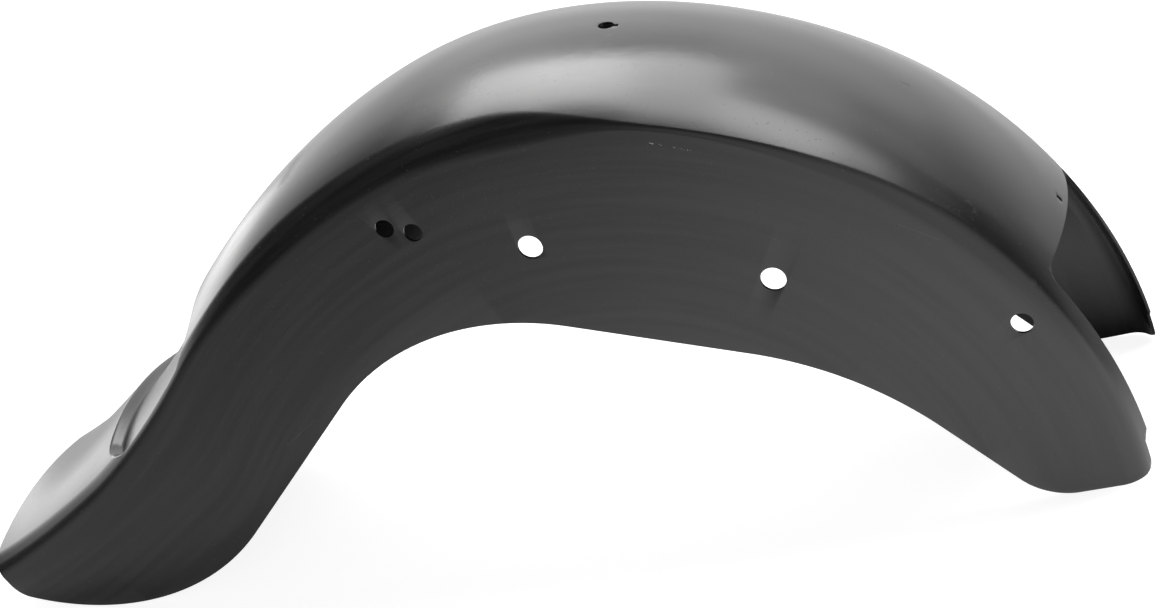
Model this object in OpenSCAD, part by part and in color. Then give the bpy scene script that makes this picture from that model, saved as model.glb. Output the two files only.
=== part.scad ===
// Pressed sheet rear fender for a motorcycle, one piece.
// Millimetres. +X points to the tail, +Z up, and the part is symmetric in Y.
// It stands on the lower edges of its leg and of its tail, at z = 0.
// Places along X are given from the centre of the wheel arc. The side view grows with the arc's radius:
// its sizes are given for an arc of 340 mm.

/* [Sheet and width] */
// Width over the outside of the two side walls
fender_w = 190; // [176:2:206]
// Thickness of the sheet
sheet_t = 2; // [1.6:0.2:2.6]

/* [Wheel arc] */
// Radius of the shoulder line round the wheel
arc_r = 340; // [320:5:360]
// Height of the wheel arc's centre over the rest plane
arc_z = -3; // [-6:1:0]

/* [Front leg] */
// Angle on the wheel arc where the shoulder opens into the leg
leg_from = 108; // [104:1:112]
// Radius of the shoulder line where it opens
leg_open_r = 535; // [500:5:570]
// Steepest angle that the shoulder line reaches on the leg
leg_steep = 135; // [131:1:138]
// Radius of the reverse sweep toward the leg's end
leg_sweep_r = 650; // [620:10:690]
// Angle of the shoulder line at the leg's end
leg_end = 110; // [106:1:114]

/* [Crown] */
// Rise of the crown over the shoulder line at the tail
rise_tail = 20; // [16:1:24]
// Rise of the crown where it is tallest, ahead of the seat
rise_mid = 33; // [29:1:37]
// Rise of the crown on the leg
rise_leg = 30.5; // [28:0.5:34]
// Rise of the crown at the leg's end
rise_end = 25; // [20:1:30]
// Radius across the crown at the tail
crown_r_tail = 220; // [190:10:260]
// Radius across the crown at the seat
crown_r_mid = 183; // [170:1:220]
// Radius across the crown on the leg
crown_r_leg = 250; // [220:10:300]
// Radius across the crown at the leg's end
crown_r_end = 400; // [300:10:460]

/* [Shoulder] */
// Bend radius of the shoulder at the tail
bend_tail = 20; // [16:1:24]
// Bend radius of the crisp shoulder beside the seat
bend_mid = 5; // [4:0.5:8]
// Bend radius of the soft shoulder ahead of the seat
bend_front = 26; // [22:1:28]
// Bend radius of the shoulder on the leg
bend_leg = 16; // [14:1:18]
// Bend radius of the shoulder at the leg's end
bend_end = 18; // [14:1:22]

/* [Lower edge] */
// Radius of the foot of the leg
foot_r = 210; // [195:5:225]
// Distance of the foot's lowest point ahead of the wheel arc's centre
foot_x = 456; // [446:2:466]
// Radius of the corner between the foot and the leg's end
foot_corner_r = 24; // [16:2:32]
// Radius of the hump over the transmission side of the wheel
hump_r = 190; // [180:2:200]
// Height of the top of the hump
hump_z = 199; // [190:1:208]
// Distance of the hump's top ahead of the wheel arc's centre
hump_x = 78; // [70:2:86]
// Radius of the rear sweep of the lower edge
sweep_r = 265; // [255:5:275]
// Distance of the rear sweep's centre behind the wheel arc's centre
sweep_x = 15; // [11:1:19]
// Depth of the rear sweep's centre under the rest plane
sweep_z = 104; // [100:1:108]
// Radius of the tail's lower corner
tail_r = 46; // [38:2:52]
// Distance of the tail's lowest point behind the wheel arc's centre
tail_x = 295; // [289:1:299]
// Height of the lower edge at the very tail
tail_lift = 3; // [1:0.5:5]

/* [Strut holes] */
// Diameter of the front and middle strut holes
strut_d = 17.5; // [14:0.5:20]
// Diameter of the rear strut hole
strut_d_rear = 15; // [11:0.5:18]
// Distance of the front strut hole ahead of the wheel arc's centre
strut_x = 19.5; // [15:0.5:24]
// Height of the front strut hole
strut_z = 253; // [248:1:258]
// Distance from the front to the middle strut hole
strut_step_mid = 165; // [160:1:170]
// Slope of the line from the front to the middle strut hole
strut_drop_mid = 19; // [17:0.5:21]
// Distance from the middle to the rear strut hole
strut_step_rear = 163; // [158:1:168]
// Slope of the line from the middle to the rear strut hole
strut_drop_rear = 22; // [20:0.5:24]

/* [Bracket holes] */
// Diameter of the pair of bracket holes
pair_d = 13.6; // [10:0.2:15]
// Distance of the first bracket hole ahead of the wheel arc's centre
pair_x = 116.5; // [112:0.5:121]
// Height of the first bracket hole
pair_z = 285.7; // [280:0.5:290]
// Distance between the two bracket holes
pair_step = 20.2; // [18:0.2:24]
// Slope of the line through the bracket holes
pair_drop = 19.3; // [14:0.5:24]

/* [Crown holes] */
// Diameter of the seat hole
seat_d = 11; // [8:0.5:13]
// Angle of the seat hole on the wheel arc
seat_at = 82.5; // [79:0.5:86]
// Reach of the key slot past the seat hole
key_l = 3; // [2:0.5:4]
// Width of the key slot
key_w = 3.4; // [2.4:0.2:4.4]
// Angle of the small rear hole on the wheel arc
wire_at = 29.3; // [29:0.1:31]
// Diameter of the small rear hole
wire_d = 3.2; // [2.4:0.2:4]
// Length of the small rear hole along the crown
wire_l = 6; // [5:0.5:8]

/* [Tail opening] */
// Angle on the wheel arc where the crown ends
opening_at = 28; // [26:0.5:28.5]
// Width of each of the two arms beside the opening
arm_w = 22; // [20:1:27]
// Radius of the opening's two corners
opening_r = 12; // [6:1:18]
// Extra width on each side at the arms' tips
tip_step = 6; // [3:0.5:7]
// Height of the arms' wider gap over the rest plane
tip_h = 30; // [22:1:36]
// Radius of the arms' tips
tip_r = 7; // [4:0.5:8]

/* [Leg recess] */
// Length of the recess along the leg
recess_l = 150; // [140:2:160]
// Distance from the side wall's face to the recess's wall
recess_edge = 7.5; // [7:0.5:15]
// Depth of the recess
recess_h = 8.5; // [6.5:0.5:9.5]
// Radius of the recess's corners
recess_r = 27; // [20:1:36]
// Bend radius of the recess's rim and of the foot of its wall
recess_bend = 3; // [2:0.5:3.5]
// Place of the recess's middle along the shoulder line
recess_s = 940; // [936:1:944]

/* [Hidden] */
steel = [0.13, 0.13, 0.14];
// Growth of the side view with the wheel arc
growth = arc_r / 340;
open_r = growth * leg_open_r;
return_r = growth * leg_sweep_r;
tail = growth * tail_x;
recess_at = growth * recess_s;
// Wheel arc's centre behind the middle of the part, so that the part is centred in X
arc_x = growth * 109;
half_w = fender_w / 2;
opening_w = fender_w - 2 * arm_w;
recess_w = fender_w - 2 * recess_edge;
// Depth of the side walls before their lower edge is cut
wall_drop = growth * 205;
// Sheet past the shoulder line's two ends, which the lower edge's cut takes off
spare_tail = 14;
spare_leg = 8;
// Reach of the cutters past the part
clear = growth * 170;
// Facets along the shoulder line, round a shoulder bend and over half of the crown
stations = 60;
bend_steps = 4;
crown_steps = 6;
// Facets round a corner of the recess's outline and along what joins two corners
corner_steps = 6;
edge_steps = 5;
// Height over the outer face up to which the recess is cut
recess_top = 16;

// Shoulder line: one arc round the wheel, one wider arc, then a reverse sweep
function unit(a) = [cos(a), sin(a)];
arc_c = [0, growth * arc_z];
open_c = arc_c + (arc_r - open_r) * unit(leg_from);
steep_p = open_c + open_r * unit(leg_steep);
sweep_c = steep_p + return_r * unit(leg_steep);
len_arc = arc_r * leg_from * PI / 180;
len_open = open_r * (leg_steep - leg_from) * PI / 180;
len_sweep = return_r * (leg_steep - leg_end) * PI / 180;
run = len_arc + len_open + len_sweep;
function angle_at(s) =
    s < len_arc ? s / arc_r * 180 / PI
    : s < len_arc + len_open ? leg_from + (s - len_arc) / open_r * 180 / PI
    : leg_steep - (s - len_arc - len_open) / return_r * 180 / PI;
function point_at(s) =
    s < len_arc ? arc_c + arc_r * unit(angle_at(s))
    : s < len_arc + len_open ? open_c + open_r * unit(angle_at(s))
    : sweep_c - return_r * unit(angle_at(s));
function along(a) = a * PI / 180 * arc_r;

// Section: a crown arc, two shoulder bends and two flat walls, all eased along the run
function ease(t) = let(c = max(0, min(1, t))) c * c * (3 - 2 * c);
function shift(a, b, s, from, to) = (b - a) * ease((s / run - from) / (to - from));
function rise(s) = rise_tail + shift(rise_tail, rise_mid, s, 0.28, 0.56)
    + shift(rise_mid, rise_leg, s, 0.56, 0.73) + shift(rise_leg, rise_end, s, 0.875, 1);
function crown_r(s) = crown_r_tail + shift(crown_r_tail, crown_r_mid, s, 0.13, 0.425)
    + shift(crown_r_mid, crown_r_leg, s, 0.425, 0.863) + shift(crown_r_leg, crown_r_end, s, 0.875, 1);
function bend_r(s) = bend_tail + shift(bend_tail, bend_mid, s, 0.17, 0.365)
    + shift(bend_mid, bend_front, s, 0.375, 0.475) + shift(bend_front, bend_leg, s, 0.62, 0.74)
    + shift(bend_leg, bend_end, s, 0.74, 1);
function bend_n(s) = let(c = crown_r(s), b = bend_r(s))
    rise(s) - c + sqrt(pow(c - b, 2) - pow(half_w - b, 2));
function bend_a(s) = let(c = crown_r(s), b = bend_r(s)) asin((half_w - b) / (c - b));

// Half of one section as [y, n], d under the outer face, from the wall to the crown's middle
function half_section(s, d) =
    let(b = bend_r(s), c = crown_r(s), a = bend_a(s), n = bend_n(s), e = max(0.5, b - d))
    concat(
        [[half_w - d, n - wall_drop]],
        [for (i = [0 : bend_steps - 1]) let(t = 90 - (90 - a) * i / bend_steps)
            [min(half_w - b, half_w - d - e) + e * sin(t), n + e * cos(t)]],
        [for (i = [0 : crown_steps]) let(t = a * (1 - i / crown_steps))
            [(c - d) * sin(t), rise(s) - c + (c - d) * cos(t)]]);
function section(s, d) = let(h = half_section(s, d), m = len(h) - 1)
    concat([for (p = h) [-p[0], p[1]]], [for (i = [m - 1 : -1 : 0]) h[i]]);
function placed(s, y, n) = let(p = point_at(s), u = unit(angle_at(s))) [p[0] + n * u[0], y, p[1] + n * u[1]];
function face_ring(s, d) = [for (q = section(s, d)) placed(s, q[0], q[1])];
function sheet_ring(s, d) = let(m = face_ring(s, d))
    concat(face_ring(s, 0), [for (i = [len(m) - 1 : -1 : 0]) m[i]]);

// Solid through a row of rings, each end closed by a strip from one side of the ring to the other
module sweep(rings) {
    m = len(rings[0]);
    last = (len(rings) - 1) * m;
    sides = [for (r = [0 : len(rings) - 2], i = [0 : m - 1])
        let(a = r * m + i, b = r * m + (i + 1) % m)
        each [[a, b + m, b], [a, a + m, b + m]]];
    half = floor(m / 2);
    strip = concat([for (i = [0 : half - 2]) let(j = m - 1 - i) each [[i, i + 1, j], [i + 1, j - 1, j]]],
        [for (i = [half : 1 : m - half - 1]) [i - 1, i, i + 1]]);
    end_strip = [for (f = strip) [last + f[0], last + f[2], last + f[1]]];
    polyhedron(points = [for (r = rings) each r], faces = concat(sides, strip, end_strip), convexity = 8);
}

// Lower edge of the side walls, as arcs joined by straight runs
function arc(c, r, a0, a1, n) = [for (i = [0 : n]) c + r * unit(a0 + (a1 - a0) * i / n)];
slope_leg = 40.8;
slope_top = 19.2;
slope_tail = 49;
tip_run = growth * 56;
end_p = point_at(run);
foot_c = growth * [-foot_x, foot_r];
foot_gap = growth * foot_r - foot_corner_r;
corner_off = (end_p - foot_c) * unit(leg_end - 90) + foot_corner_r;
corner_c = foot_c + foot_gap * unit(leg_end + 90 + acos(-corner_off / foot_gap));
corner_a = 360 + atan2(corner_c[1] - foot_c[1], corner_c[0] - foot_c[0]);
lower_edge = concat(
    [end_p + clear * unit(leg_end)],
    arc(corner_c, foot_corner_r, leg_end + 90, corner_a, 6),
    arc(foot_c, growth * foot_r, corner_a, 270 + slope_leg, 20),
    arc(growth * [-hump_x, hump_z - hump_r], growth * hump_r, 90 + slope_leg, 90 - slope_top, 14),
    arc(growth * [sweep_x, -sweep_z], growth * sweep_r, 90 - slope_top, 90 - slope_tail, 10),
    arc([tail, tail_r], tail_r, 270 - slope_tail, 270, 8),
    [[tail + tip_run, tail_lift], [tail + clear, tail_lift]]);

module below_edge() {
    front = corner_c[0] - 2 * clear;
    translate([0, fender_w, 0]) rotate([90, 0, 0]) linear_extrude(2 * fender_w)
        polygon(concat(lower_edge,
            [[tail + clear, -clear], [front, -clear], [front, end_p[1] + clear]]));
}

// Cutter that stands on the shoulder line at one place: its +Z is outward, its +X toward the tail
module outward(s) {
    p = point_at(s);
    translate([p[0], 0, p[1]]) rotate([0, 90 - angle_at(s), 0]) children();
}

// Flat plate with true round corners, as long as l in X and w in Y
module plate(l, w, r) {
    square([l, w - 2 * r], center = true);
    square([l - 2 * r, w], center = true);
    for (x = [-1, 1], y = [-1, 1]) translate([x * (l / 2 - r), y * (w / 2 - r)])
        circle(r = r, $fn = 64);
}

// Round hole through both side walls
module side_hole(p, d) {
    translate([p[0], 0, p[1]]) rotate([90, 0, 0])
        cylinder(d = d, h = 2 * fender_w, center = true, $fn = 64);
}

module side_holes() {
    front = growth * [-strut_x, strut_z];
    middle = front + growth * strut_step_mid * unit(-strut_drop_mid);
    first = growth * [-pair_x, pair_z];
    side_hole(front, strut_d);
    side_hole(middle, strut_d);
    side_hole(middle + growth * strut_step_rear * unit(-strut_drop_rear), strut_d_rear);
    side_hole(first, pair_d);
    side_hole(first + pair_step * unit(-pair_drop), pair_d);
}

// Seat hole with its key slot, and the small slot near the tail
module crown_holes() {
    tall = 2 * rise_mid;
    outward(along(seat_at)) cylinder(d = seat_d, h = tall, $fn = 64);
    outward(along(seat_at)) translate([0, -key_w / 2, 0]) cube([seat_d / 2 + key_l, key_w, tall]);
    outward(along(wire_at)) linear_extrude(tall) plate(wire_l, wire_d, wire_d / 2 - 0.01);
}

// Opening between the two arms at the tail, cut square to the crown's end
module tail_opening() {
    reach = growth * 300;
    inward = growth * 170;
    outward(along(opening_at)) translate([reach / 2, 0, -inward]) linear_extrude(inward + clear)
        plate(reach, opening_w, opening_r);
    translate([tail - clear, 0, 0]) rotate([90, 0, 90]) linear_extrude(2 * clear) tip_gap();
}

// Wider gap between the arms' tips, with the tips' round corners
module tip_gap() {
    w = opening_w / 2 + tip_step;
    low = [w, tip_h - tip_step];
    high = [w - 2 * tip_step, tip_h + tip_step];
    polygon([[-w, -clear], [-low[0], low[1]], [-high[0], high[1]], high, low, [w, -clear]]);
    for (side = [-1, 1]) scale([side, 1]) difference() {
        translate([w - 1, -clear]) square([tip_r + 1, clear + tail_lift + tip_r]);
        translate([w + tip_r, tail_lift + tip_r]) circle(r = tip_r, $fn = 48);
    }
}

// Outline of the leg's recess as [along, across], widened by g: four corner arcs and what joins them
function recess_corner(c) = [(c % 3 == 0 ? 1 : -1) * (recess_l / 2 - recess_r),
    (c < 2 ? 1 : -1) * (recess_w / 2 - recess_r)];
function recess_point(c, a, g) = recess_corner(c % 4) + (recess_r + g) * unit(90 * c + a);
function recess_outline(g) = [for (c = [0 : 3]) each concat(
    [for (i = [0 : corner_steps]) recess_point(c, 90 * i / corner_steps, g)],
    [for (j = [1 : edge_steps - 1]) let(f = j / edge_steps)
        (1 - f) * recess_point(c, 90, g) + f * recess_point(c + 1, 0, g)])];

// Height of the outer face over the shoulder line, y from the middle
function outer_n(s, y) = let(b = bend_r(s), c = crown_r(s), e = half_w - b)
    abs(y) < c * sin(bend_a(s)) ? rise(s) - c + sqrt(c * c - y * y)
    : bend_n(s) + sqrt(max(0, b * b - pow(abs(y) - e, 2)));

// Solid that fills the recess. A level is how far the outline is widened, its share of the full
// outline and its depth under the outer face
function recess_ring(level) = [for (q = level[1] * recess_outline(level[0]))
    let(s = recess_at - q[0]) placed(s, q[1], outer_n(s, q[1]) - level[2])];
function foot_levels(t) = concat(
    [for (f = [0.05, 0.3, 0.55, 0.8]) [-recess_bend, f, recess_h + t]],
    [for (a = [90 : -30 : 0])
        [(recess_bend + t) * cos(a) - recess_bend, 1, recess_h - recess_bend + (recess_bend + t) * sin(a)]]);
function top_levels(g) = [for (f = [1, 0.55, 0.1]) [g, f, -recess_top]];
rim_levels = [for (a = [0, 30, 60]) [recess_bend * (1 - cos(a)), 1, recess_bend * (1 - sin(a))]];
rim_g = 1.5 * recess_bend;
rim_d = recess_bend * (sin(60) - 1);

module recess_space() {
    levels = concat(foot_levels(0), rim_levels, [[rim_g, 1, rim_d]], top_levels(rim_g));
    sweep([for (v = levels) recess_ring(v)]);
}

// Sheet under the recess, up to the middle of the crown's sheet
module recess_sheet() {
    reach = recess_l / 2 + 12;
    intersection() {
        sweep([for (v = concat(foot_levels(sheet_t), top_levels(sheet_t))) recess_ring(v)]);
        sweep([for (i = [-8 : 8]) face_ring(recess_at + reach * i / 8, sheet_t / 2)]);
    }
}

module fender() {
    color(steel) translate([arc_x, 0, 0]) difference() {
        union() {
            sweep([for (i = [0 : stations])
                sheet_ring((run + spare_leg + spare_tail) * i / stations - spare_tail, sheet_t)]);
            recess_sheet();
        }
        recess_space();
        below_edge();
        tail_opening();
        side_holes();
        crown_holes();
    }
}

fender();
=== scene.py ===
# %% [markdown]
# # A pressed steel rear fender
# The real part is one sheet of steel, 2 mm thick. A press draws its crown and folds its two side walls,
# a shear trims its edges, and a punch makes its holes. Then it is dipped and sprayed with a black coat.
# This lesson makes it the same way: a flat blank, a press, a trim, a punch and a coat.
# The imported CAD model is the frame, so every size below is in metres and in the CAD's own place.

# %% Load the frame
import math
import bpy
import numpy as np
from mathutils import Matrix, Vector


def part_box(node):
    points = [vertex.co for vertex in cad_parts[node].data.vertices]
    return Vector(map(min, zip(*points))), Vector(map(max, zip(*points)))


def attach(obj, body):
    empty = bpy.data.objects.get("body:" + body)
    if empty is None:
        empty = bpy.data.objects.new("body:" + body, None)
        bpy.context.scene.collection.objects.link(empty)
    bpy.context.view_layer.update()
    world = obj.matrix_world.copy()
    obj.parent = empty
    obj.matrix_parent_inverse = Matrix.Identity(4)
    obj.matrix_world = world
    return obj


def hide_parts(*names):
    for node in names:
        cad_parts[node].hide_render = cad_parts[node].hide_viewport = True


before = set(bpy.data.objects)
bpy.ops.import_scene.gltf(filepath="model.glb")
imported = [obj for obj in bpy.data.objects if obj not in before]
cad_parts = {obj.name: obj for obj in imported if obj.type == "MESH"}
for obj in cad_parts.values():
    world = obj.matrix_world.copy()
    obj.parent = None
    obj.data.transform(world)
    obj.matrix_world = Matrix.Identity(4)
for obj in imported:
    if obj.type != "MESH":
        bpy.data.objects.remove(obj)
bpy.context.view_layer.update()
cad_low, cad_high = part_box("fender")
print("CAD box", [round(value, 4) for value in cad_low], [round(value, 4) for value in cad_high])

# %% [markdown]
# ## The camera
# The photograph shows the fender's left side from behind and a little above. The lens and the place were
# found from the photograph: the vanishing point of the fender's width and the ellipses of its round holes.

# %% Set the camera
EYE = Vector((0.6401, -1.3139, 0.8813))
RIGHT = Vector((0.92302, 0.22988, -0.30854))
UP = Vector((0.14768, 0.52882, 0.83579))
SENSOR = 36.0
PHOTO_WIDTH = 1162
FOCAL_PIXELS = 2200

camera_data = bpy.data.cameras.new("camera")
camera_data.sensor_width = SENSOR
camera_data.lens = FOCAL_PIXELS / PHOTO_WIDTH * SENSOR
camera = bpy.data.objects.new("camera", camera_data)
bpy.context.collection.objects.link(camera)
look_back = RIGHT.cross(UP).normalized()
camera.matrix_world = Matrix((
    (RIGHT.x, UP.x, look_back.x, EYE.x),
    (RIGHT.y, UP.y, look_back.y, EYE.y),
    (RIGHT.z, UP.z, look_back.z, EYE.z),
    (0, 0, 0, 1),
))
bpy.context.scene.camera = camera
print("lens", round(camera_data.lens, 2), "mm")

# %% [markdown]
# ## Formulas as nodes
# The press is a Geometry Nodes tree, because the sheet follows a rule: one line along the shoulder and one
# section across it. A long formula is hard to read as nodes, so a small class turns plain arithmetic in
# Python into Math nodes. The tree stays live: a size changed in its inputs reshapes the sheet.

# %% A value inside a node tree
class Term:
    """One socket of a tree. Arithmetic on it adds Math nodes and gives the result's socket."""

    def __init__(self, tree, socket):
        self.tree = tree
        self.socket = socket

    def __add__(self, other):
        return calc(self.tree, "ADD", self, other)

    def __sub__(self, other):
        return calc(self.tree, "SUBTRACT", self, other)

    def __mul__(self, other):
        return calc(self.tree, "MULTIPLY", self, other)

    def __truediv__(self, other):
        return calc(self.tree, "DIVIDE", self, other)

    def to(self, operation, other=0.0):
        return calc(self.tree, operation, self, other)

    def between(self, low, high):
        return self.to("MAXIMUM", low).to("MINIMUM", high)


def plug(tree, socket, value):
    if isinstance(value, Term):
        tree.links.new(value.socket, socket)
    else:
        socket.default_value = value


def calc(tree, operation, *values):
    node = tree.nodes.new("ShaderNodeMath")
    node.operation = operation
    for socket, value in zip(node.inputs, values):
        plug(tree, socket, value)
    return Term(tree, node.outputs[0])


def eased(value, start, end, low, high):
    node = value.tree.nodes.new("ShaderNodeMapRange")
    node.interpolation_type = "SMOOTHSTEP"
    for socket, entry in zip(node.inputs, (value, start, end, low, high)):
        plug(value.tree, socket, entry)
    return Term(value.tree, node.outputs[0])


# %% A tree with named inputs
SOCKET_TYPES = {float: "NodeSocketFloat", int: "NodeSocketInt", tuple: "NodeSocketVector"}


def new_shape_tree(name, sizes):
    tree = bpy.data.node_groups.new(name, "GeometryNodeTree")
    tree.interface.new_socket("Geometry", in_out="INPUT", socket_type="NodeSocketGeometry")
    tree.interface.new_socket("Material", in_out="INPUT", socket_type="NodeSocketMaterial")
    for label, value in sizes.items():
        socket = tree.interface.new_socket(label, in_out="INPUT", socket_type=SOCKET_TYPES[type(value)])
        socket.default_value = value
    tree.interface.new_socket("Geometry", in_out="OUTPUT", socket_type="NodeSocketGeometry")
    start = tree.nodes.new("NodeGroupInput")
    return tree, start


def close_tree(tree, start, geometry):
    real = tree.nodes.new("GeometryNodeRealizeInstances")
    paint = tree.nodes.new("GeometryNodeSetMaterial")
    end = tree.nodes.new("NodeGroupOutput")
    tree.links.new(geometry, real.inputs["Geometry"])
    tree.links.new(real.outputs["Geometry"], paint.inputs["Geometry"])
    tree.links.new(start.outputs["Material"], paint.inputs["Material"])
    tree.links.new(paint.outputs["Geometry"], end.inputs["Geometry"])


def add_tree(piece, tree, material, sizes):
    modifier = piece.modifiers.new(tree.name, "NODES")
    modifier.node_group = tree
    for item in tree.interface.items_tree:
        if item.in_out == "INPUT" and item.name in sizes:
            modifier[item.identifier] = sizes[item.name]
        elif item.in_out == "INPUT" and item.name == "Material":
            modifier[item.identifier] = material


# %% [markdown]
# ## Sizes of the fender
# These are the driving sizes. The shoulder line is an arc round the wheel, a wider arc where it opens to
# the leg, and a reverse sweep. Along it the crown's rise, the crown's radius and the bend's radius ease
# from one value to the next.

# %% Driving sizes
deg = math.radians
HALF_WIDTH = 0.095
SHEET = 0.002
press_sizes = {
    "Half width": HALF_WIDTH,
    "Arc centre X": 0.109,
    "Arc centre Z": -0.003,
    "Arc radius": 0.340,
    "Leg from": deg(108),
    "Opening radius": 0.535,
    "Steepest": deg(135),
    "Sweep radius": 0.650,
    "Leg end": deg(110),
    "Rise at tail": 0.020,
    "Rise at seat": 0.033,
    "Rise on leg": 0.0305,
    "Rise at end": 0.025,
    "Crown at tail": 0.220,
    "Crown at seat": 0.183,
    "Crown on leg": 0.250,
    "Crown at end": 0.400,
    "Bend at tail": 0.020,
    "Bend at seat": 0.005,
    "Bend ahead": 0.026,
    "Bend on leg": 0.016,
    "Bend at end": 0.018,
    "Wall drop": 0.205,
    "Recess place": 0.940,
    "Recess length": 0.150,
    "Recess edge": 0.0075,
    "Recess corner": 0.027,
    "Recess depth": 0.0085,
    "Recess rim": 0.0035,
    "Recess foot": 0.0045,
}


def unit(angle):
    return np.array([math.cos(angle), math.sin(angle)])


size = press_sizes
arc_centre = np.array([size["Arc centre X"], size["Arc centre Z"]])
arc_length = size["Arc radius"] * size["Leg from"]
open_length = size["Opening radius"] * (size["Steepest"] - size["Leg from"])
sweep_length = size["Sweep radius"] * (size["Steepest"] - size["Leg end"])
run = arc_length + open_length + sweep_length
print("shoulder line", round(run, 4), "m")


# %% The shoulder line in Python, for the trimming tools
def line_angle(place):
    first = min(place, arc_length) / size["Arc radius"]
    second = min(max(place - arc_length, 0), open_length) / size["Opening radius"]
    third = max(place - arc_length - open_length, 0) / size["Sweep radius"]
    return first + second - third


def line_point(place):
    first = min(place, arc_length) / size["Arc radius"]
    second = first + min(max(place - arc_length, 0), open_length) / size["Opening radius"]
    third = line_angle(place)
    point = arc_centre + size["Arc radius"] * unit(first)
    point = point + size["Opening radius"] * (unit(second) - unit(first))
    return point + size["Sweep radius"] * (unit(second) - unit(third))


print("leg's end at", np.round(line_point(run), 4))

# %% [markdown]
# ## The blank
# The blank is a flat grid. Its X is the distance along the shoulder line. Its Y counts across the section:
# 0 to 1 is half of the crown, 1 to 2 the shoulder bend and 2 to 3 the side wall. Lines lie close together
# round the recess, where the sheet bends sharply, and far apart on the flat walls.

# %% Grid lines of the blank
SPARE_TAIL = 0.014
SPARE_LEG = 0.008


def steps(*stops):
    """Places from stop to stop: each pair is a place and the step up to it."""
    places = [stops[0]]
    for target, step in stops[1:]:
        count = max(1, round((target - places[-1]) / step))
        places.extend(np.linspace(places[-1], target, count + 1)[1:])
    return places


recess_low = size["Recess place"] - size["Recess length"] / 2
recess_high = size["Recess place"] + size["Recess length"] / 2
along = steps(
    -SPARE_TAIL,
    (recess_low - 0.006, 0.0042),
    (recess_low + 0.008, 0.0008),
    (recess_low + 0.030, 0.0015),
    (recess_high - 0.030, 0.0045),
    (recess_high - 0.008, 0.0015),
    (recess_high + 0.006, 0.0008),
    (run + SPARE_LEG, 0.0042),
)
half_across = steps(0.0, (0.68, 0.068), (0.86, 0.018), (1.0, 0.0127), (1.32, 0.04), (2.0, 0.085), (3.0, 0.2))
across = [-value for value in half_across[:0:-1]] + half_across
print("blank has", len(along), "by", len(across), "lines")


# %% Lay out the blank
def flat_grid(name, rows, columns):
    points = [(x, y, 0) for x in rows for y in columns]
    width = len(columns)
    faces = [
        (i * width + j, i * width + j + 1, (i + 1) * width + j + 1, (i + 1) * width + j)
        for i in range(len(rows) - 1)
        for j in range(width - 1)
    ]
    mesh = bpy.data.meshes.new(name)
    mesh.from_pydata(points, [], faces)
    piece = bpy.data.objects.new(name, mesh)
    bpy.context.collection.objects.link(piece)
    return piece


sheet = flat_grid("fender_sheet", along, across)
print("blank faces", len(sheet.data.polygons))

# %% [markdown]
# ## The press
# Each point of the blank is moved to its place on the fender. First comes the point of the shoulder line,
# then the section's height and distance from the middle there, then the recess as a smooth step down
# inside a rectangle with round corners.

# %% Press tree
press, press_start = new_shape_tree("press", press_sizes)
given = {label: Term(press, press_start.outputs[label]) for label in press_sizes}
place_node = press.nodes.new("GeometryNodeInputPosition")
split = press.nodes.new("ShaderNodeSeparateXYZ")
press.links.new(place_node.outputs[0], split.inputs[0])
blank_along = Term(press, split.outputs["X"])
blank_across = Term(press, split.outputs["Y"])

# %% Shoulder line as nodes
to_open = given["Arc radius"] * given["Leg from"]
to_sweep = to_open + given["Opening radius"] * (given["Steepest"] - given["Leg from"])
whole = to_sweep + given["Sweep radius"] * (given["Steepest"] - given["Leg end"])
turn_1 = blank_along.to("MINIMUM", to_open) / given["Arc radius"]
turn_2 = turn_1 + (blank_along.to("MINIMUM", to_sweep) - to_open).to("MAXIMUM", 0.0) / given["Opening radius"]
turn_3 = turn_2 - (blank_along - to_sweep).to("MAXIMUM", 0.0) / given["Sweep radius"]


def line_part(operation, centre):
    first, second, third = (turn.to(operation) for turn in (turn_1, turn_2, turn_3))
    start = centre + given["Arc radius"] * first
    return start + given["Opening radius"] * (second - first) + given["Sweep radius"] * (second - third)


line_x = line_part("COSINE", given["Arc centre X"])
line_z = line_part("SINE", given["Arc centre Z"])
out_x = turn_3.to("COSINE")
out_z = turn_3.to("SINE")

# %% Section as nodes
share = blank_along / whole


def along_run(first, *changes):
    """A size that starts at one value and eases to others between shares of the run."""
    value = given[first]
    before = given[first]
    for start, end, label in changes:
        value = value + eased(share, start, end, 0.0, given[label] - before)
        before = given[label]
    return value


rise = along_run("Rise at tail", (0.28, 0.56, "Rise at seat"), (0.56, 0.73, "Rise on leg"),
                 (0.875, 1.0, "Rise at end"))
crown = along_run("Crown at tail", (0.13, 0.425, "Crown at seat"), (0.425, 0.863, "Crown on leg"),
                  (0.875, 1.0, "Crown at end"))
bend = along_run("Bend at tail", (0.17, 0.365, "Bend at seat"), (0.375, 0.475, "Bend ahead"),
                 (0.62, 0.74, "Bend on leg"), (0.74, 1.0, "Bend at end"))
reach = given["Half width"] - bend
spread = crown - bend
bend_height = rise - crown + (spread * spread - reach * reach).to("SQRT")
crown_angle = (reach / spread).to("ARCSINE")
count = blank_across.to("ABSOLUTE")
crown_turn = crown_angle * count.to("MINIMUM", 1.0)
bend_turn = crown_angle + (crown_angle * -1.0 + math.pi / 2) * (count - 1.0).between(0.0, 1.0)
on_crown = count.to("LESS_THAN", 1.0)
bend_y = reach + bend * bend_turn.to("SINE")
bend_n = bend_height + bend * bend_turn.to("COSINE") - given["Wall drop"] * (count - 2.0).to("MAXIMUM", 0.0)
crown_y = crown * crown_turn.to("SINE")
crown_n = rise - crown + crown * crown_turn.to("COSINE")
section_y = bend_y + (crown_y - bend_y) * on_crown
section_n = bend_n + (crown_n - bend_n) * on_crown

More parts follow.
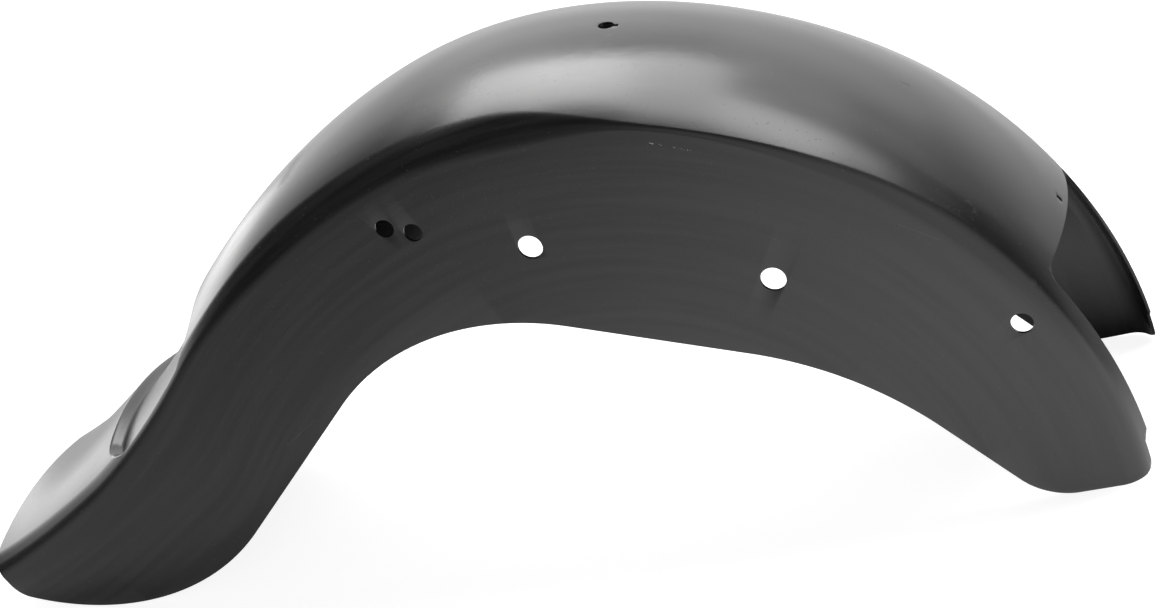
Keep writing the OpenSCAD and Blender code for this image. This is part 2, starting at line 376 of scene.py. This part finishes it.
# %% Recess as nodes
corner = given["Recess corner"]
past_along = (blank_along - given["Recess place"]).to("ABSOLUTE") - given["Recess length"] * 0.5 + corner
past_across = section_y - given["Half width"] + given["Recess edge"] + corner
outer_along = past_along.to("MAXIMUM", 0.0)
outer_across = past_across.to("MAXIMUM", 0.0)
corner_way = (outer_along * outer_along + outer_across * outer_across).to("SQRT")
from_rim = corner_way + past_along.to("MAXIMUM", past_across).to("MINIMUM", 0.0) - corner
pressed = eased(from_rim, given["Recess rim"], given["Recess foot"] * -1.0, 0.0, given["Recess depth"])
height = section_n - pressed

# %% Move the blank's points
joined = press.nodes.new("ShaderNodeCombineXYZ")
plug(press, joined.inputs["X"], line_x + height * out_x)
plug(press, joined.inputs["Y"], section_y * blank_across.to("SIGN"))
plug(press, joined.inputs["Z"], line_z + height * out_z)
moved = press.nodes.new("GeometryNodeSetPosition")
press.links.new(press_start.outputs["Geometry"], moved.inputs["Geometry"])
press.links.new(joined.outputs[0], moved.inputs["Position"])
close_tree(press, press_start, moved.outputs["Geometry"])
print("press tree has", len(press.nodes), "nodes")

# %% [markdown]
# ## The coat
# The real coat is a thin black primer with a satin gloss. It is nearly black, so its look is mostly in what
# it mirrors, and in what breaks the mirror: long streaks from drawing the sheet, the fine skin of sprayed
# paint, dust under it, and a few rubs and scratches from handling. Each is a small group of shader nodes
# that gives a mask or a value over the surface. The shader itself stays in the material.

# %% A group of shader nodes
def new_look(name, inputs, output):
    tree = bpy.data.node_groups.new(name, "ShaderNodeTree")
    for label, value in inputs.items():
        socket = tree.interface.new_socket(label, in_out="INPUT", socket_type=SOCKET_TYPES[type(value)])
        socket.default_value = value
    tree.interface.new_socket(output, in_out="OUTPUT", socket_type="NodeSocketFloat")
    return tree, tree.nodes.new("NodeGroupInput"), tree.nodes.new("NodeGroupOutput")


def vector_step(tree, operation, first, second, output="Vector"):
    node = tree.nodes.new("ShaderNodeVectorMath")
    node.operation = operation
    for socket, value in zip(node.inputs, (first, second)):
        if isinstance(value, bpy.types.NodeSocket):
            tree.links.new(value, socket)
        elif isinstance(value, Term):
            tree.links.new(value.socket, socket)
        else:
            socket.default_value = value
    return node.outputs[output]


def speckle(tree, vector, scale, detail):
    node = tree.nodes.new("ShaderNodeTexNoise")
    node.inputs["Scale"].default_value = scale
    node.inputs["Detail"].default_value = detail
    tree.links.new(vector, node.inputs["Vector"])
    return Term(tree, node.outputs["Fac"])


# %% [markdown]
# A rub or a scratch is a short line with a width. The group gives 1 on the line and fades to 0 at the
# width's end, so one group serves a hair scratch and a broad smudge alike.

# %% Group for a local mark
ORIGIN = (0.0, 0.0, 0.0)
mark_inputs = {"Point": ORIGIN, "Start": ORIGIN, "End": ORIGIN, "Width": 0.01}
mark_tree, mark_in, mark_out = new_look("mark", mark_inputs, "Mask")
TINY = 1e-9
mark_line = vector_step(mark_tree, "SUBTRACT", mark_in.outputs["End"], mark_in.outputs["Start"])
from_start = vector_step(mark_tree, "SUBTRACT", mark_in.outputs["Point"], mark_in.outputs["Start"])
along_mark = Term(mark_tree, vector_step(mark_tree, "DOT_PRODUCT", from_start, mark_line, "Value"))
line_square = Term(mark_tree, vector_step(mark_tree, "DOT_PRODUCT", mark_line, mark_line, "Value"))
nearest = mark_tree.nodes.new("ShaderNodeVectorMath")
nearest.operation = "SCALE"
mark_tree.links.new(mark_line, nearest.inputs[0])
plug(mark_tree, nearest.inputs["Scale"], (along_mark / line_square.to("MAXIMUM", TINY)).between(0.0, 1.0))
off_line = Term(mark_tree, vector_step(mark_tree, "DISTANCE", from_start, nearest.outputs[0], "Value"))
fading = eased(off_line, 0.0, Term(mark_tree, mark_in.outputs["Width"]), 1.0, 0.0)
plug(mark_tree, mark_out.inputs["Mask"], fading)

# %% [markdown]
# The press draws the sheet along the shoulder line, so its streaks run beside that line. The distance from
# the line is the distance from one of three arc centres: the wheel's, the leg's and the foot's.

# %% Group for the drawing streaks
steep_point = arc_centre + size["Arc radius"] * unit(size["Leg from"])
leg_centre = steep_point - size["Opening radius"] * unit(size["Leg from"])
foot_line = leg_centre + (size["Opening radius"] + size["Sweep radius"]) * unit(size["Steepest"])
streak_inputs = {"Point": ORIGIN, "Across": 170.0, "Along": 7.0}
streak_tree, streak_in, streak_out = new_look("drawing_streaks", streak_inputs, "Streak")
point = streak_in.outputs["Point"]
point_parts = streak_tree.nodes.new("ShaderNodeSeparateXYZ")
streak_tree.links.new(point, point_parts.inputs[0])
point_x = Term(streak_tree, point_parts.outputs["X"])
point_z = Term(streak_tree, point_parts.outputs["Z"])


def way_from(centre):
    east = point_x - float(centre[0])
    north = point_z - float(centre[1])
    return (east * east + north * north).to("SQRT")


from_wheel = way_from(arc_centre) - size["Arc radius"]
from_leg = way_from(leg_centre) - size["Opening radius"]
from_foot = way_from(foot_line) * -1.0 + size["Sweep radius"]
leg_share = eased(point_x, 0.06, -0.06, 0.0, 1.0)
foot_share = eased(point_x, -0.16, -0.26, 0.0, 1.0)
beside = from_wheel + (from_leg - from_wheel) * leg_share
beside = beside + (from_foot - beside) * foot_share
laid = streak_tree.nodes.new("ShaderNodeCombineXYZ")
plug(streak_tree, laid.inputs["X"], beside * Term(streak_tree, streak_in.outputs["Across"]))
plug(streak_tree, laid.inputs["Y"], point_x * Term(streak_tree, streak_in.outputs["Along"]))
plug(streak_tree, laid.inputs["Z"], point_z * Term(streak_tree, streak_in.outputs["Along"]))
grain = speckle(streak_tree, laid.outputs[0], 1.0, 3.0)
plug(streak_tree, streak_out.inputs["Streak"], eased(grain, 0.3, 0.7, -1.0, 1.0))

# %% Coat material
coat = bpy.data.materials.new("black_coat")
coat.use_nodes = True
coat_tree = coat.node_tree
coat_shader = coat_tree.nodes["Principled BSDF"]
place_in = coat_tree.nodes.new("ShaderNodeTexCoord").outputs["Object"]


def look(tree, **values):
    node = coat_tree.nodes.new("ShaderNodeGroup")
    node.node_tree = tree
    coat_tree.links.new(place_in, node.inputs["Point"])
    for label, value in values.items():
        node.inputs[label].default_value = value
    return Term(coat_tree, node.outputs[0])


streak = look(streak_tree)
cloud = speckle(coat_tree, place_in, 16.0, 3.0)
dust = eased(speckle(coat_tree, place_in, 900.0, 0.0), 0.80, 0.86, 0.0, 1.0)
blots = eased(speckle(coat_tree, place_in, 240.0, 2.0), 0.70, 0.76, 0.0, 1.0)

# %% [markdown]
# The marks sit where the real sheet shows them: a row of bright chips under the shoulder, a pale rub and a
# hair scratch on the rear, small dark spots on the leg's foot, and two broad rubs on the crown.

# %% Marks on the coat
LEFT = -HALF_WIDTH


def mark(start, end, width):
    return look(mark_tree, Start=start, End=end, Width=width)


chips = mark((0.1932, LEFT, 0.3128), (0.2190, LEFT, 0.3020), 0.0010)
chips = chips * eased(speckle(coat_tree, place_in, 620.0, 3.0), 0.54, 0.70, 0.0, 1.0)
rear_scratch = mark((0.3371, -0.0952, 0.2240), (0.3593, -0.0949, 0.2084), 0.0006)
leg_scratch = mark((-0.1510, LEFT, 0.1247), (-0.1199, LEFT, 0.1434), 0.0006)
scratch = rear_scratch + leg_scratch
arm_rub = mark((0.4095, -0.0880, 0.1618), (0.4170, -0.0885, 0.1570), 0.0060)
shoulder_rub = mark((0.3770, -0.0705, 0.2190), (0.3815, -0.0725, 0.2130), 0.0040)
rub = arm_rub + shoulder_rub
rub = rub * eased(speckle(coat_tree, place_in, 260.0, 3.0), 0.42, 0.62, 0.0, 1.0)
foot_zone = mark((-0.2713, LEFT, 0.0560), (-0.2650, LEFT, 0.0080), 0.0600)
seat_rub = mark((0.0340, -0.0400, 0.3570), (0.0508, -0.0500, 0.3574), 0.0220)
front_rub = mark((-0.0972, -0.0127, 0.3123), (-0.1000, -0.0300, 0.3080), 0.0140)
crown_rub = seat_rub + front_rub
nick = mark((0.3380, 0.0090, 0.2745), (0.3430, 0.0100, 0.2700), 0.0008)
wrinkle_zone = mark((0.1359, -0.0500, 0.3560), (0.2221, -0.0197, 0.3407), 0.0350)

# %% [markdown]
# The colour is a very dark grey that varies a little. The gloss varies too, because a rub dulls the coat.
# The relief is a bump of well under a millimetre, enough to break the mirror and too small to see edge on.

# %% Colour of the coat
BLACK = 0.0064
DEEPEST_BLACK = 0.0006
tone = (streak * 0.0058 + (cloud - 0.5) * 0.004 + BLACK).to("MAXIMUM", DEEPEST_BLACK)
tone = tone * (foot_zone * blots * -0.8 + 1.0)
tone = tone + dust * 0.03 + chips * 0.45 + scratch * 0.02 + rub * 0.006
warm = coat_tree.nodes.new("ShaderNodeCombineColor")
plug(coat_tree, warm.inputs["Red"], tone)
plug(coat_tree, warm.inputs["Green"], tone * 1.01)
plug(coat_tree, warm.inputs["Blue"], tone * 0.98)
coat_tree.links.new(warm.outputs[0], coat_shader.inputs["Base Color"])

# %% Gloss and relief of the coat
SATIN = 0.225
RELIEF_DEPTH = 0.001
gloss = cloud * 0.06 + streak * 0.012 + SATIN + crown_rub * 0.09 + rub * 0.15 + nick * 0.4 + chips * 0.3
plug(coat_tree, coat_shader.inputs["Roughness"], gloss)
skin = speckle(coat_tree, place_in, 420.0, 2.0)
wrinkle = speckle(coat_tree, place_in, 90.0, 3.0) * wrinkle_zone
relief = coat_tree.nodes.new("ShaderNodeBump")
relief.inputs["Strength"].default_value = 1.0
relief.inputs["Distance"].default_value = RELIEF_DEPTH
height_sum = skin * 0.02 + wrinkle * 0.22 + streak * 0.004 + dust * 0.05 - nick * 0.1
plug(coat_tree, relief.inputs["Height"], height_sum)
coat_tree.links.new(relief.outputs["Normal"], coat_shader.inputs["Normal"])
print("coat has", len(coat_tree.nodes), "nodes")

# %% [markdown]
# ## Press, fold and give the sheet its thickness
# The coat comes first only because the press tree also sets the material. Solidify then adds the steel's
# 2 mm inward, so the outside stays where the shoulder line and the section put it. Even thickness keeps
# the wall as thick in the tight bends as on the flat.

# %% Run the press
add_tree(sheet, press, coat, press_sizes)
wall = sheet.modifiers.new("thickness", "SOLIDIFY")
wall.thickness = SHEET
wall.offset = -1
wall.use_even_offset = True

# %% [markdown]
# ## Trim the edges
# The shear's tools are prisms: an outline, pushed through the sheet. The lower edge is five arcs joined by
# straight runs. The tail's opening is a wide slot between two arms.

# %% A trimming tool
def arc(centre, radius, start, end, count):
    return [tuple(np.array(centre) + radius * unit(angle)) for angle in np.linspace(start, end, count + 1)]


def prism(name, outline, origin, right, up, depth):
    """A solid over an outline in the plane of right and up, pushed both ways by half the depth."""
    right = Vector(right)
    up = Vector(up)
    push = right.cross(up) * (depth / 2)
    area = sum(a[0] * b[1] - b[0] * a[1] for a, b in zip(outline, outline[1:] + outline[:1]))
    turned = outline if area > 0 else outline[::-1]
    flat = [Vector(origin) + right * point[0] + up * point[1] for point in turned]
    count = len(flat)
    points = [point - push for point in flat] + [point + push for point in flat]
    faces = [tuple(range(count - 1, -1, -1)), tuple(range(count, 2 * count))]
    faces += [(i, (i + 1) % count, count + (i + 1) % count, count + i) for i in range(count)]
    mesh = bpy.data.meshes.new(name)
    mesh.from_pydata(points, [], faces)
    tool = bpy.data.objects.new(name, mesh)
    bpy.context.collection.objects.link(tool)
    return tool


TOOL_ACROSS = (0, 1, 0)
TOOL_UP = (0, 0, 1)
tools = []


def trim(piece, tool):
    cut = piece.modifiers.new(tool.name, "BOOLEAN")
    cut.operation = "DIFFERENCE"
    cut.solver = "MANIFOLD"
    cut.object = tool
    tools.append(tool)


# %% Lower edge of the walls
FOOT_RADIUS, FOOT_X = 0.210, 0.456
CORNER_RADIUS = 0.024
HUMP_RADIUS, HUMP_X, HUMP_Z = 0.190, 0.078, 0.199
SWEEP_RADIUS, SWEEP_X, SWEEP_Z = 0.265, 0.015, 0.104
TAIL_RADIUS, TAIL_X, TAIL_LIFT = 0.046, 0.295, 0.003
TIP_RUN = 0.056
SLOPE_LEG, SLOPE_TOP, SLOPE_TAIL = deg(40.8), deg(19.2), deg(49)
CLEAR = 0.170
THROUGH_WIDTH = 0.250
centre_x = size["Arc centre X"]
quarter = math.pi / 2

end_point = line_point(run)
foot_centre = np.array([centre_x - FOOT_X, FOOT_RADIUS])
side_way = float((end_point - foot_centre) @ unit(size["Leg end"] - quarter)) + CORNER_RADIUS
corner_turn = size["Leg end"] + quarter + math.acos(-side_way / (FOOT_RADIUS - CORNER_RADIUS))
corner_centre = foot_centre + (FOOT_RADIUS - CORNER_RADIUS) * unit(corner_turn)
corner_end = 2 * math.pi + math.atan2(*(corner_centre - foot_centre)[::-1])
lower_edge = [tuple(end_point + CLEAR * unit(size["Leg end"]))]
lower_edge += arc(corner_centre, CORNER_RADIUS, size["Leg end"] + quarter, corner_end, 16)
lower_edge += arc(foot_centre, FOOT_RADIUS, corner_end, 3 * quarter + SLOPE_LEG, 48)
lower_edge += arc((centre_x - HUMP_X, HUMP_Z - HUMP_RADIUS), HUMP_RADIUS, quarter + SLOPE_LEG,
                  quarter - SLOPE_TOP, 40)
lower_edge += arc((centre_x + SWEEP_X, -SWEEP_Z), SWEEP_RADIUS, quarter - SLOPE_TOP,
                  quarter - SLOPE_TAIL, 30)
lower_edge += arc((centre_x + TAIL_X, TAIL_RADIUS), TAIL_RADIUS, 3 * quarter - SLOPE_TAIL, 3 * quarter, 20)
lower_edge += [
    (centre_x + TAIL_X + TIP_RUN, TAIL_LIFT),
    (centre_x + TAIL_X + CLEAR, TAIL_LIFT),
    (centre_x + TAIL_X + CLEAR, -CLEAR),
    (corner_centre[0] - 2 * CLEAR, -CLEAR),
    (corner_centre[0] - 2 * CLEAR, end_point[1] + CLEAR),
]
below = prism("below_edge", lower_edge, (0, 0, 0), (1, 0, 0), TOOL_UP, THROUGH_WIDTH)
trim(sheet, below)

# %% Opening between the arms
OPENING_AT = deg(28)
ARM_WIDTH = 0.022
OPENING_CORNER = 0.012
TIP_STEP, TIP_HEIGHT, TIP_RADIUS = 0.006, 0.030, 0.007


def frame_at(place):
    """A point on the shoulder line and the direction toward the tail there."""
    point = line_point(place)
    out = unit(line_angle(place))
    return (point[0], 0, point[1]), (out[1], 0, -out[0])


def round_plate(length, width, radius, count=12):
    """Outline of a plate with round corners, from its middle."""
    outline = []
    corners = ((1, 1, 0), (-1, 1, 1), (-1, -1, 2), (1, -1, 3))
    for side_x, side_y, turn in corners:
        centre = (side_x * (length / 2 - radius), side_y * (width / 2 - radius))
        outline += arc(centre, radius, turn * quarter, (turn + 1) * quarter, count)
    return outline


OPENING_REACH = 0.300
OPENING_DEPTH = 0.360
opening_half = HALF_WIDTH - ARM_WIDTH
origin, tailward = frame_at(OPENING_AT * size["Arc radius"])
slot = [(x + OPENING_REACH / 2, y) for x, y in round_plate(OPENING_REACH, 2 * opening_half, OPENING_CORNER)]
trim(sheet, prism("tail_opening", slot, origin, tailward, TOOL_ACROSS, OPENING_DEPTH))

# %% Wider gap at the arms' tips
GAP_START = -0.020
GAP_DEPTH = 0.300
tip_half = opening_half + TIP_STEP
gap_low = TIP_HEIGHT - TIP_STEP
gap_high = TIP_HEIGHT + TIP_STEP
gap_side = [(tip_half + TIP_RADIUS, GAP_START), (tip_half + TIP_RADIUS, TAIL_LIFT)]
gap_side += arc((tip_half + TIP_RADIUS, TAIL_LIFT + TIP_RADIUS), TIP_RADIUS, 3 * quarter, 2 * quarter, 10)[1:]
gap_side += [(tip_half, gap_low), (tip_half - 2 * TIP_STEP, gap_high)]
gap = gap_side + [(-x, z) for x, z in gap_side[::-1]]
trim(sheet, prism("tip_gap", gap, (centre_x + TAIL_X, 0, 0), TOOL_ACROSS, TOOL_UP, GAP_DEPTH))

# %% Seat hole with its key slot, and the small slot near the tail
SEAT_AT, SEAT_RADIUS, KEY_REACH, KEY_WIDTH = deg(82.5), 0.0055, 0.003, 0.0034
WIRE_AT, WIRE_WIDTH, WIRE_LENGTH = deg(29.3), 0.0032, 0.006
HOLE_DEPTH = 0.160
NEARLY_ROUND = 0.99
key_turn = math.asin(KEY_WIDTH / 2 / SEAT_RADIUS)
key_hole = arc((0, 0), SEAT_RADIUS, key_turn, 2 * math.pi - key_turn, 48)
key_hole += [(SEAT_RADIUS + KEY_REACH, -KEY_WIDTH / 2), (SEAT_RADIUS + KEY_REACH, KEY_WIDTH / 2)]
origin, tailward = frame_at(SEAT_AT * size["Arc radius"])
trim(sheet, prism("seat_hole", key_hole, origin, tailward, TOOL_ACROSS, HOLE_DEPTH))
origin, tailward = frame_at(WIRE_AT * size["Arc radius"])
wire_slot = round_plate(WIRE_LENGTH, WIRE_WIDTH, WIRE_WIDTH / 2 * NEARLY_ROUND)
trim(sheet, prism("wire_slot", wire_slot, origin, tailward, TOOL_ACROSS, HOLE_DEPTH))
print("trimming tools", len(tools))

# %% [markdown]
# ## Punch the holes
# The round holes go straight through both walls. A punch that strikes in a row is a natural task for
# Geometry Nodes: a line of points, a cylinder on each, and one Boolean.

# %% Punch tree
punch_sizes = {
    "First hole": (0.0, 0.0, 0.0),
    "Step": (0.0, 0.0, 0.0),
    "Holes": 1,
    "Radius": 0.005,
    "Depth": 0.25,
}
punch, punch_start = new_shape_tree("punch", punch_sizes)
row = punch.nodes.new("GeometryNodeMeshLine")
row.mode = "OFFSET"
pin = punch.nodes.new("GeometryNodeMeshCylinder")
pin.inputs["Vertices"].default_value = 96
strike = punch.nodes.new("GeometryNodeInstanceOnPoints")
strike.inputs["Rotation"].default_value = (quarter, 0, 0)
solid_pins = punch.nodes.new("GeometryNodeRealizeInstances")
cut = punch.nodes.new("GeometryNodeMeshBoolean")
cut.operation = "DIFFERENCE"
cut.solver = "MANIFOLD"
link = punch.links.new
link(punch_start.outputs["Holes"], row.inputs["Count"])
link(punch_start.outputs["First hole"], row.inputs["Start Location"])
link(punch_start.outputs["Step"], row.inputs["Offset"])
link(punch_start.outputs["Radius"], pin.inputs["Radius"])
link(punch_start.outputs["Depth"], pin.inputs["Depth"])
link(row.outputs["Mesh"], strike.inputs["Points"])
link(pin.outputs["Mesh"], strike.inputs["Instance"])
link(strike.outputs["Instances"], solid_pins.inputs["Geometry"])
link(punch_start.outputs["Geometry"], cut.inputs["Mesh 1"])
link(solid_pins.outputs["Geometry"], cut.inputs["Mesh 2"])
close_tree(punch, punch_start, cut.outputs["Mesh"])


# %% Strut and bracket holes
STRUT_RADIUS, REAR_RADIUS, BRACKET_RADIUS = 0.00875, 0.0075, 0.0068
BRACKET_STEP = 0.0202


def down_slope(length, slope):
    return (length * math.cos(slope), 0.0, -length * math.sin(slope))


front_hole = (centre_x - 0.0195, 0.0, 0.253)
to_middle = down_slope(0.165, deg(19))
to_rear = down_slope(0.163, deg(22))
rear_hole = tuple(a + b + c for a, b, c in zip(front_hole, to_middle, to_rear))
first_bracket = (centre_x - 0.1165, 0.0, 0.2857)
to_second_bracket = down_slope(BRACKET_STEP, deg(19.3))
punches = [
    {"First hole": front_hole, "Step": to_middle, "Holes": 2, "Radius": STRUT_RADIUS},
    {"First hole": rear_hole, "Step": to_middle, "Holes": 1, "Radius": REAR_RADIUS},
    {"First hole": first_bracket, "Step": to_second_bracket, "Holes": 2, "Radius": BRACKET_RADIUS},
]
for strokes in punches:
    add_tree(sheet, punch, coat, {**punch_sizes, **strokes})
print("rows of holes", len(punches))


# %% Turn the live sheet into a plain mesh
def settle(piece):
    graph = bpy.context.evaluated_depsgraph_get()
    mesh = bpy.data.meshes.new_from_object(piece.evaluated_get(graph))
    piece.modifiers.clear()
    piece.data = mesh
    return mesh


settle(sheet)
for tool in tools:
    bpy.data.objects.remove(tool)

# %% [markdown]
# A shear and a punch leave a crisp edge, and the coat rounds it a little. A narrow bevel on the sharp edges
# catches a thin line of light, which is how the eye reads the sheet's thickness.

# %% Round the cut edges a little
EDGE_ROUND = 0.0004
CUT_EDGE_FROM = deg(60)
SHARP_FROM = deg(35)
rounding = sheet.modifiers.new("rounded edges", "BEVEL")
rounding.width = EDGE_ROUND
rounding.segments = 2
rounding.limit_method = "ANGLE"
rounding.angle_limit = CUT_EDGE_FROM
mesh = settle(sheet)
for polygon in mesh.polygons:
    polygon.use_smooth = True
mesh.set_sharp_from_angle(angle=SHARP_FROM)
low = [min(v.co[i] for v in mesh.vertices) for i in range(3)]
high = [max(v.co[i] for v in mesh.vertices) for i in range(3)]
print("sheet faces", len(mesh.polygons), "box", np.round(low, 4), np.round(high, 4))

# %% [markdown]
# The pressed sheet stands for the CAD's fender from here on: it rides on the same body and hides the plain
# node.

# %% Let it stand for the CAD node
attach(sheet, "root")
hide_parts("fender")

# %% [markdown]
# ## The studio
# A black coat shows what it mirrors, so the studio is built as what the fender sees. The floor is pale and
# reads white to the camera. For mirrored rays only it also glows, a painted reflection: brighter toward the
# right in front of the fender, where the side walls mirror that part of the floor, and brighter toward the
# back. The strength of this painted glow follows the floor's own Object coordinates.

# %% Floor
FLOOR_HALF = 6.0
FLOOR_GREY = 0.38
WHITE_LIFT = 0.85
floor_mesh = bpy.data.meshes.new("floor")
floor_corners = [(x * FLOOR_HALF, y * FLOOR_HALF, 0) for x, y in ((-1, -1), (1, -1), (1, 1), (-1, 1))]
floor_mesh.from_pydata(floor_corners, [], [(0, 1, 2, 3)])
floor = bpy.data.objects.new("floor", floor_mesh)
bpy.context.collection.objects.link(floor)
floor_coat = bpy.data.materials.new("floor")
floor_coat.use_nodes = True
floor_tree = floor_coat.node_tree
nodes = floor_tree.nodes
links = floor_tree.links
floor_shader = nodes["Principled BSDF"]
floor_shader.inputs["Base Color"].default_value = (FLOOR_GREY, FLOOR_GREY, FLOOR_GREY, 1)
floor_shader.inputs["Roughness"].default_value = 0.9
floor_shader.inputs["Specular IOR Level"].default_value = 0.0
lift = nodes.new("ShaderNodeEmission")
both = nodes.new("ShaderNodeAddShader")
path = nodes.new("ShaderNodeLightPath")
camera_ray = Term(floor_tree, path.outputs["Is Camera Ray"])
glossy_ray = Term(floor_tree, path.outputs["Is Glossy Ray"])
where = nodes.new("ShaderNodeTexCoord")
parts = nodes.new("ShaderNodeSeparateXYZ")
links.new(where.outputs["Object"], parts.inputs[0])
floor_y = Term(floor_tree, parts.outputs["Y"])
in_front = eased(floor_y, 0.1, -0.1, 0.0, 1.0)
# Painted reflection: mirrored rays see the floor glow, brighter toward the right in front and toward the
# back.
painted_glow_right = eased(Term(floor_tree, parts.outputs["X"]), -0.45, 0.40, 0.22, 1.25) * in_front
painted_glow_back = eased(floor_y, 0.4, 1.4, 0.0, 0.75)
plug(floor_tree, lift.inputs["Strength"], camera_ray * WHITE_LIFT + glossy_ray * (painted_glow_right + painted_glow_back))
links.new(floor_shader.outputs[0], both.inputs[0])
links.new(lift.outputs[0], both.inputs[1])
links.new(both.outputs[0], nodes["Material Output"].inputs["Surface"])
floor_mesh.materials.append(floor_coat)


# %% [markdown]
# The crown mirrors the ceiling. Every band of light on it was traced back to a place at lamp height, and
# the soft boxes there have the brightness that the band needs. They are wide and even, as in a photo
# studio. One upright card stands ahead of the leg, which mirrors the room low down in front.

# %% Lamps
LAMP_HEIGHT = 1.5


def softbox(name, place, turn, width, depth, radiance):
    data = bpy.data.lights.new(name, "AREA")
    data.shape = "RECTANGLE"
    data.size = width
    data.size_y = depth
    data.energy = radiance * width * depth * math.pi
    lamp = bpy.data.objects.new(name, data)
    bpy.context.collection.objects.link(lamp)
    lamp.location = place
    lamp.rotation_euler = turn
    return data.energy


def ceiling_lamp(name, left, right, front, back, radiance):
    place = ((left + right) / 2, (front + back) / 2, LAMP_HEIGHT)
    return softbox(name, place, (0, 0, 0), right - left, back - front, radiance)


power = [
    ceiling_lamp("key_left", -0.66, -0.28, 0.24, 0.95, 9.0),
    ceiling_lamp("key", -0.28, 0.22, 0.14, 0.90, 10.5),
    ceiling_lamp("key_right", 0.22, 0.62, 0.02, 1.00, 7.0),
    ceiling_lamp("strip", 0.62, 1.25, 0.00, 0.46, 9.5),
    ceiling_lamp("strip_end", 1.25, 1.75, 0.20, 0.50, 6.0),
    ceiling_lamp("rear", 0.62, 1.25, 0.46, 1.25, 1.8),
    ceiling_lamp("left", -1.15, -0.66, 0.50, 1.10, 1.6),
    ceiling_lamp("ceiling", -1.6, 2.2, 1.25, 3.40, 0.6),
    ceiling_lamp("ceiling_right", 1.25, 2.8, 0.50, 1.25, 0.7),
    softbox("leg_card", (-1.15, 0.45, 0.17), (0, -quarter, 0), 0.34, 1.5, 2.0),
]
print("lamps", len(power), "with", round(sum(power)), "W")

# %% [markdown]
# The rest of the room is dim, with a pale wall behind the fender and another one on the camera's side. The
# crown's far edge and the shoulder mirror them at a shallow angle. The camera itself sees plain white.

# %% World
world = bpy.data.worlds.new("studio")
bpy.context.scene.world = world
world.use_nodes = True
nodes = world.node_tree.nodes
links = world.node_tree.links
background = nodes["Background"]
coords = nodes.new("ShaderNodeTexCoord")


def glow(toward, start, end, strength):
    """Brightness of a part of the room that grows toward one direction."""
    facing = nodes.new("ShaderNodeVectorMath")
    facing.operation = "DOT_PRODUCT"
    facing.inputs[1].default_value = toward
    links.new(coords.outputs["Generated"], facing.inputs[0])
    return eased(Term(world.node_tree, facing.outputs["Value"]), start, end, 0.0, strength)


DIM_ROOM = 0.12
back_wall = glow((0.0, 1.0, 0.0), 0.30, 0.72, 1.4)
near_wall = glow((0.64, -0.77, 0.0), 0.45, 0.90, 1.1)
room = back_wall + near_wall + DIM_ROOM
path = nodes.new("ShaderNodeLightPath")
seen = Term(world.node_tree, path.outputs["Is Camera Ray"])
plug(world.node_tree, background.inputs["Strength"], room + (room * -1.0 + 1.0) * seen)
background.inputs["Color"].default_value = (1, 1, 1, 1)
bpy.context.scene.view_settings.view_transform = "Standard"
